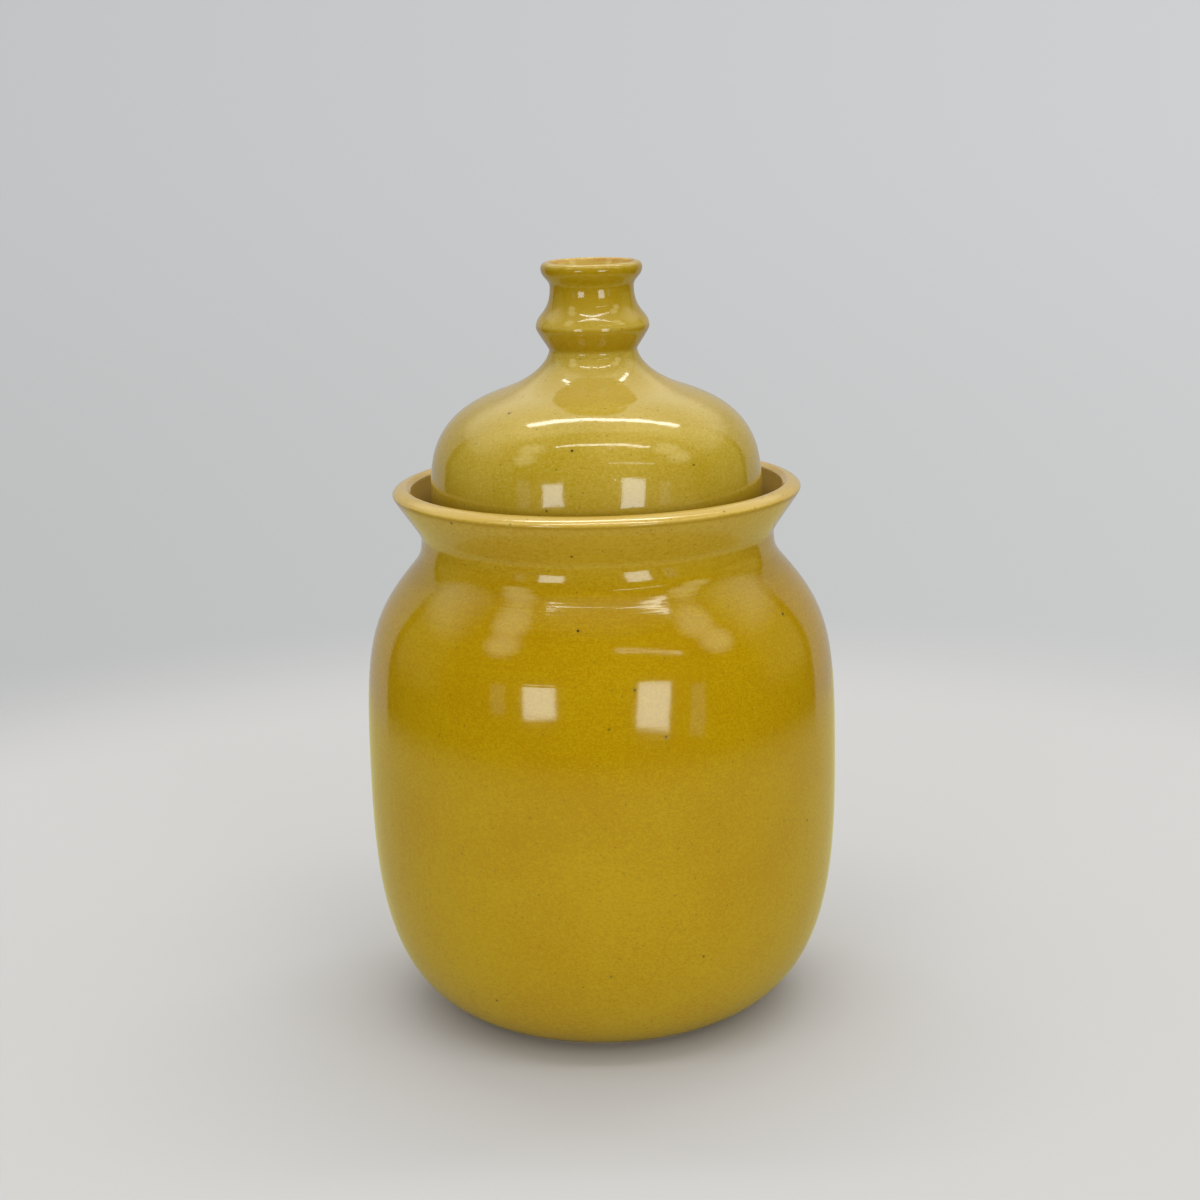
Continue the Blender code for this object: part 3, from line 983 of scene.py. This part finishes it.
def paper_floor(look):
    """Matt seamless paper: even and pale, and it fades into the backdrop away from the jar."""
    material = bpy.data.materials.new("matt_seamless_paper")
    add = partial(add_node, cleared_tree(material))
    place = add("ShaderNodeTexCoord", output="Object")
    distance = add("ShaderNodeVectorMath", place, output="Value", operation="LENGTH")
    fade = add("soft step", distance, look.floor_fade, look.floor_radius)
    # Painted reflection: glossy rays see the paper in an amber tint
    mirrored = add("ShaderNodeLightPath", output="Is Glossy Ray")
    paper = add("ShaderNodeBsdfPrincipled", links={
        "Base Color": add("mix", mirrored, look.floor_colour, look.floor_mirrored),
        "Roughness": PAPER_ROUGHNESS, "Specular IOR Level": PAPER_SHINE,
    })
    clear = add("ShaderNodeBsdfTransparent")
    add("ShaderNodeOutputMaterial", add("ShaderNodeMixShader", fade, paper, clear))
    return material


# How high the backdrop's two colours blend, and how much brighter it grows to the right
BACKDROP_BLEND = (-0.26, 0.0)
BACKDROP_SLOPE = 0.26

# The room as the glaze mirrors it. Each part has its brightness, how blue it is, and the steps
# that bound it, each from none to all: up is 1 straight up, behind is 1 on the far side of the
# jar, and right is 1 on its right
WALL = (("behind", -0.20, 0.10), ("up", -0.12, 0.05), ("behind", 0.55, 0.50))
BACKDROP = (0.45, 1.0, (("behind", 0.60, 0.63), ("up", 0.80, 0.30)))
REAR_CEILING = (1.05, 0.8, (("up", 0.34, 0.56), ("behind", -0.2, 0.4)))
CEILING = (0.45, 0.8, (("up", 0.76, 0.92),))
LEFT_WALL = (0.26, 0.4, (*WALL, ("right", 0.0, -0.2)))
RIGHT_WALL = (0.42, 0.35, (*WALL, ("right", 0.0, 0.2)))
ROOM = (BACKDROP, REAR_CEILING, CEILING, LEFT_WALL, RIGHT_WALL)

# Soft glows beside the jar: degrees to the right of the camera and up, their outer and inner
# radius in degrees, and how blue they are
GLOWS = ((-60.0, 38.0), (-66.0, 50.0), (70.0, 34.0), (68.0, 47.0))
GLOW_EDGE = (11.0, 3.0)
GLOW_BLUENESS = 0.7


def seen_from_jar(side_angle, lift_angle, distance, height):
    """A place at a distance from the jar's axis: degrees to the right of the camera, and up."""
    side = math.radians(side_angle)
    lift = math.radians(lift_angle)
    return Vector((
        distance * math.cos(lift) * math.sin(side),
        -distance * math.cos(lift) * math.cos(side),
        height + distance * math.sin(lift),
    ))


def studio_world(look):
    """A pale backdrop to the eye, even light all round, and a dim room in what the glaze mirrors."""
    world = bpy.data.worlds.new("studio")
    add = partial(add_node, cleared_tree(world))
    way = add("ShaderNodeTexCoord", output="Generated")
    side, ahead, up = add("ShaderNodeSeparateXYZ", way).node.outputs
    level = add("SQRT", add("MULTIPLY_ADD", ahead, ahead, add("MULTIPLY", side, side)))
    ways = {"up": up, "behind": add("DIVIDE", ahead, level), "right": add("DIVIDE", side, level)}

    # What the camera sees: a paper backdrop, a little brighter to the right
    seen = add("mix", add("soft step", up, *BACKDROP_BLEND), look.backdrop_low, look.backdrop_high)
    shown = add("ShaderNodeBackground", seen, add("MULTIPLY_ADD", side, BACKDROP_SLOPE, 1.0))

    # What the glaze mirrors
    parts = []
    for strength, blueness, steps in ROOM:
        part = 1.0
        for name, none, all_of_it in steps:
            part = add("MULTIPLY", add("soft step", ways[name], none, all_of_it), part)
        parts.append((part, strength, blueness))
    glow = 0.0
    edge = [math.cos(math.radians(angle)) for angle in GLOW_EDGE]
    for angles in GLOWS:
        near = add(
            "ShaderNodeVectorMath", way, seen_from_jar(*angles, 1.0, 0.0), output="Value",
            operation="DOT_PRODUCT",
        )
        glow = add("MAXIMUM", add("soft step", near, *edge), glow)
    parts.append((glow, look.glow_light, GLOW_BLUENESS))
    light = blue = look.room
    for part, strength, blueness in parts:
        light = add("MULTIPLY_ADD", part, strength, light)
        blue = add("MULTIPLY_ADD", part, strength * blueness, blue)
    room = add("ShaderNodeBackground", add("ShaderNodeCombineColor", light, light, blue))

    # What lights the jar, from all around
    around = add("MULTIPLY_ADD", add("MAXIMUM", up, 0.0), look.overhead, look.ambient)
    around = add("MULTIPLY_ADD", side, look.rightward, around)
    around = add("MULTIPLY_ADD", ahead, -look.forward, around)
    ambient = add("ShaderNodeBackground", (1.0, 1.0, 1.0, 1.0), around)

    path = add("ShaderNodeLightPath").node.outputs
    lit = add("ShaderNodeMixShader", path["Is Glossy Ray"], ambient, room)
    looked_at = add("MAXIMUM", path["Is Camera Ray"], path["Is Transmission Ray"])
    add("ShaderNodeOutputWorld", add("ShaderNodeMixShader", looked_at, lit, shown))
    return world


def area_light(name, place, aim, width, depth, brightness, roll=0.0, tint=(1.0, 1.0, 1.0)):
    """A flat light of a given brightness, where a white sheet in full light has a brightness of 1."""
    lamp = bpy.data.lights.new(name, "AREA")
    lamp.shape = "RECTANGLE"
    lamp.size = width
    lamp.size_y = depth
    lamp.energy = brightness * math.pi * width * depth
    lamp.color = tint
    light = new_object(name, lamp)
    turn = (Vector(aim) - Vector(place)).to_track_quat("-Z", "Y").to_matrix().to_4x4()
    light.matrix_world = Matrix.Translation(place) @ turn @ Matrix.Rotation(roll, 4, "Z")
    light.visible_camera = False


class TREATJAR_OT_throw_body(bpy.types.Operator):
    """Throw and glaze the jar body around its solid"""

    bl_idname = "treatjar.throw_body"
    bl_label = "Throw Jar Body"

    def execute(self, context):
        sizes = context.scene.treatjar_jar
        glaze = glazed_stoneware("body", context.scene.treatjar_glaze)
        piece = thrown_piece("jar_body_glazed", body_section(sizes), sizes, glaze)
        check_fit(piece, "jar_body")
        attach(piece, "jar")
        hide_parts("jar_body")
        return {"FINISHED"}


class TREATJAR_OT_throw_lid(bpy.types.Operator):
    """Throw and glaze the lid with its knob around its solid"""

    bl_idname = "treatjar.throw_lid"
    bl_label = "Throw Lid"

    def execute(self, context):
        sizes = context.scene.treatjar_lid
        glaze = glazed_stoneware("lid", context.scene.treatjar_glaze, PIMPLES)
        piece = thrown_piece("lid_glazed", lid_section(sizes), sizes, glaze)
        check_fit(piece, "lid")
        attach(piece, "lid")
        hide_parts("lid")
        return {"FINISHED"}


# Windows in front of the jar: degrees to the right of the camera and up, width, height, degrees
# that they lean over, and brightness next to the brightest
AIM_HEIGHT = 130 * MM
WINDOW_DISTANCE = 2.2
WINDOWS = (
    ("window_left", -29.5, 5.0, 0.60, 0.60, 5.0, 1.0),
    ("window_right", 24.6, 4.0, 0.60, 0.84, -8.0, 1.0),
    ("pane_left", -50.0, 4.0, 0.30, 0.55, 5.0, 0.08),
    ("pane_right", 46.0, 0.0, 0.28, 0.75, -8.0, 0.09),
)

# Ceiling tubes: how far to the right of the jar and behind it, length, width and brightness
TUBE_HEIGHT = 1.41
TUBES = (
    ("tube_back", 0.12, 0.44, 1.34, 0.11, 1.0),
    ("tube_over", 0.105, -0.49, 1.25, 0.055, 1.2),
    ("tube_front", 0.83, -1.43, 1.2, 0.048, 0.75),
)

# The floor's fineness, the camera's sensor in mm, and the nearest that the camera sees
FLOOR_SIDES = 128
SENSOR_WIDTH = 36.0
NEAREST_SEEN = 10 * MM


class TREATJAR_OT_set_stage(bpy.types.Operator):
    """Set up the pale floor, the soft light and the camera"""

    bl_idname = "treatjar.set_stage"
    bl_label = "Set Stage"

    def execute(self, context):
        scene = context.scene
        look = scene.treatjar_stage
        form = bmesh.new()
        bmesh.ops.create_circle(form, cap_ends=True, radius=look.floor_radius, segments=FLOOR_SIDES)
        mesh = bpy.data.meshes.new("floor")
        form.to_mesh(mesh)
        form.free()
        mesh.materials.append(paper_floor(look))
        floor = new_object("floor", mesh)

        scene.world = studio_world(look)
        aim = (0.0, 0.0, AIM_HEIGHT)
        for name, side, lift, width, depth, roll, strength in WINDOWS:
            place = seen_from_jar(side, lift, WINDOW_DISTANCE, AIM_HEIGHT)
            area_light(
                name, place, aim, width, depth, look.window_light * strength,
                math.radians(roll), look.window_colour[:3],
            )
        for name, right, back, length, width, strength in TUBES:
            area_light(
                name, (right, back, TUBE_HEIGHT), (right, back, 0.0), length, width,
                look.tube_light * strength,
            )

        lens = bpy.data.cameras.new("camera")
        lens.lens = look.camera_lens
        lens.sensor_width = SENSOR_WIDTH
        lens.clip_start = NEAREST_SEEN
        camera = new_object("camera", lens)
        camera.matrix_world = (
            Matrix.Translation((look.camera_side, -look.camera_distance, look.camera_height))
            @ Matrix.Rotation(math.radians(90) - look.camera_pitch, 4, "X")
            @ Matrix.Rotation(look.camera_roll, 4, "Z")
        )
        scene.camera = camera
        scene.view_settings.view_transform = "Standard"
        return {"FINISHED"}


class TREATJAR_PT_sidebar(bpy.types.Panel):
    """Sizes, colours and buttons for the treat jar"""

    bl_label = "Treat Jar"
    bl_idname = "TREATJAR_PT_sidebar"
    bl_space_type = "VIEW_3D"
    bl_region_type = "UI"
    bl_category = "Treat Jar"

    def draw(self, context):
        for group, title, operator in (
            ("treatjar_jar", "Jar body", TREATJAR_OT_throw_body.bl_idname),
            ("treatjar_lid", "Lid", TREATJAR_OT_throw_lid.bl_idname),
            ("treatjar_glaze", "Glaze", None),
            ("treatjar_stage", "Stage", TREATJAR_OT_set_stage.bl_idname),
        ):
            box = self.layout.box()
            box.label(text=title)
            values = getattr(context.scene, group)
            for name in values.__annotations__:
                box.prop(values, name)
            if operator:
                box.operator(operator)


GROUPS = {
    "treatjar_jar": JarSizes,
    "treatjar_lid": LidSizes,
    "treatjar_glaze": GlazeLook,
    "treatjar_stage": StageLook,
}
OPERATORS = (TREATJAR_OT_throw_body, TREATJAR_OT_throw_lid, TREATJAR_OT_set_stage)


def register():
    for group, kind in GROUPS.items():
        bpy.utils.register_class(kind)
        setattr(bpy.types.Scene, group, PointerProperty(type=kind))
    for kind in (*OPERATORS, TREATJAR_PT_sidebar):
        bpy.utils.register_class(kind)


def unregister():
    for kind in (TREATJAR_PT_sidebar, *reversed(OPERATORS)):
        bpy.utils.unregister_class(kind)
    for group, kind in reversed(GROUPS.items()):
        delattr(bpy.types.Scene, group)
        bpy.utils.unregister_class(kind)


def main():
    register()
    bpy.ops.treatjar.throw_body()
    bpy.ops.treatjar.throw_lid()
    bpy.ops.treatjar.set_stage()


if __name__ == "__main__":
    main()
